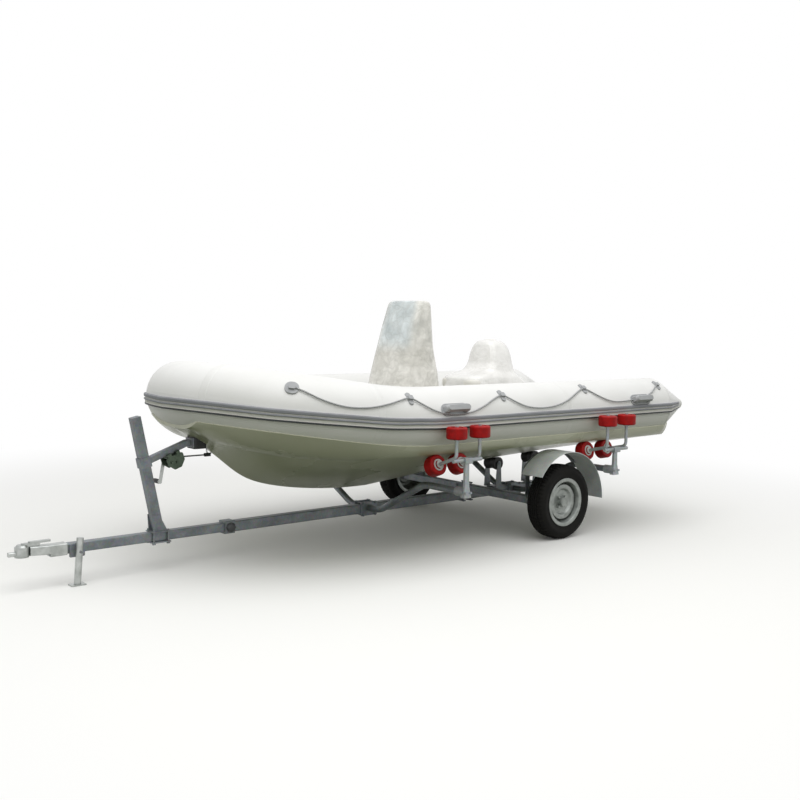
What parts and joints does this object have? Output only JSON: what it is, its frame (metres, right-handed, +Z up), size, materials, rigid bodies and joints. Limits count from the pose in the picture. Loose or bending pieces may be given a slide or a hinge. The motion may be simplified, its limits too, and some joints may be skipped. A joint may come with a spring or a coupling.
{
  "type": "rigid inflatable boat on trailer",
  "caption": "Rigid inflatable boat with film-wrapped console and seat, resting on a single-axle galvanised roller trailer with winch post and prop leg.",
  "frame": {"origin": "on the ground, under the middle of the overall length and width", "axes": "+X forward to the bow and the coupling, +Y port, +Z up"},
  "size_m": [5.478, 2.318, 1.77],
  "materials": {
    "tube_skin": "satin coated fabric",
    "strake": "matt rubber",
    "gelcoat": "gloss",
    "deck_grey": "moulded non-slip",
    "rope": "braided",
    "fitting_grey": "matt",
    "screen": "tinted acrylic",
    "film": "clear wrapping film",
    "seat_vinyl": "vinyl",
    "black_rubber": "matt",
    "red_roller": "moulded",
    "webbing": "woven",
    "tyre": "matt",
    "rim_paint": "silver paint",
    "zinc": "zinc plated",
    "stainless": "polished",
    "galvanised": "hot-dip galvanised"
  },
  "bodies": {
    "frame": {"arm_plates": "galvanised", "axle_beam": "galvanised", "bow_snubber": "black_rubber", "bow_stop_arm": "galvanised", "console": "gelcoat", "console_film": "film", "coupling_head": "zinc", "cradle_front_port": "galvanised", "cradle_front_starboard": "galvanised", "cradle_rear_port": "galvanised", "cradle_rear_starboard": "galvanised", "deck": "deck_grey", "drawbar": "galvanised", "frame_clamps": "galvanised", "front_arms": "galvanised", "grab_handles": "fitting_grey", "hull": "gelcoat", "keel_roller_forks": "galvanised", "keel_rollers": "black_rubber", "lifeline_port": "rope", "lifeline_starboard": "rope", "mudguard_port": "galvanised", "mudguard_starboard": "galvanised", "mudguard_stays": "galvanised", "prop_bracket": "galvanised", "rear_arms": "galvanised", "rollers_front_port": "red_roller", "rollers_front_starboard": "red_roller", "rollers_rear_port": "red_roller", "rollers_rear_starboard": "red_roller", "rope_holders": "fitting_grey", "rub_strake_bow": "strake", "rub_strake_port": "strake", "rub_strake_starboard": "strake", "seat_backrest": "seat_vinyl", "seat_cushion": "seat_vinyl", "seat_film": "film", "seat_pod": "gelcoat", "spine": "galvanised", "steering_wheel": "black_rubber", "stern_cone_port": "tube_skin", "stern_cone_starboard": "tube_skin", "swing_arms": "galvanised", "towing_eyes": "stainless", "transom": "deck_grey", "tube_bow": "tube_skin", "tube_port": "tube_skin", "tube_starboard": "tube_skin", "winch": "zinc", "winch_crank": "zinc", "winch_post": "galvanised", "winch_strap": "webbing", "windscreen": "screen"},
    "wheel_port": {"hub_port": "galvanised", "rim_port": "rim_paint", "tyre_port": "tyre"},
    "wheel_starboard": {"hub_starboard": "galvanised", "rim_starboard": "rim_paint", "tyre_starboard": "tyre"},
    "prop": {"prop_leg": "zinc"}
  },
  "joints": [
    {"name": "wheel_port_spin", "type": "hinge", "parent": "frame", "child": "wheel_port", "pos_m": [-1.055, 0.88, 0.2805], "axis": [0, 1, 0], "continuous": true},
    {"name": "wheel_starboard_spin", "type": "hinge", "parent": "frame", "child": "wheel_starboard", "pos_m": [-1.055, -0.88, 0.2805], "axis": [0, 1, 0], "continuous": true},
    {"name": "prop_fold", "type": "hinge", "parent": "frame", "child": "prop", "pos_m": [2.345, 0.068, 0.204], "axis": [0, 1, 0], "range_deg": [0, 90]}
  ]
}
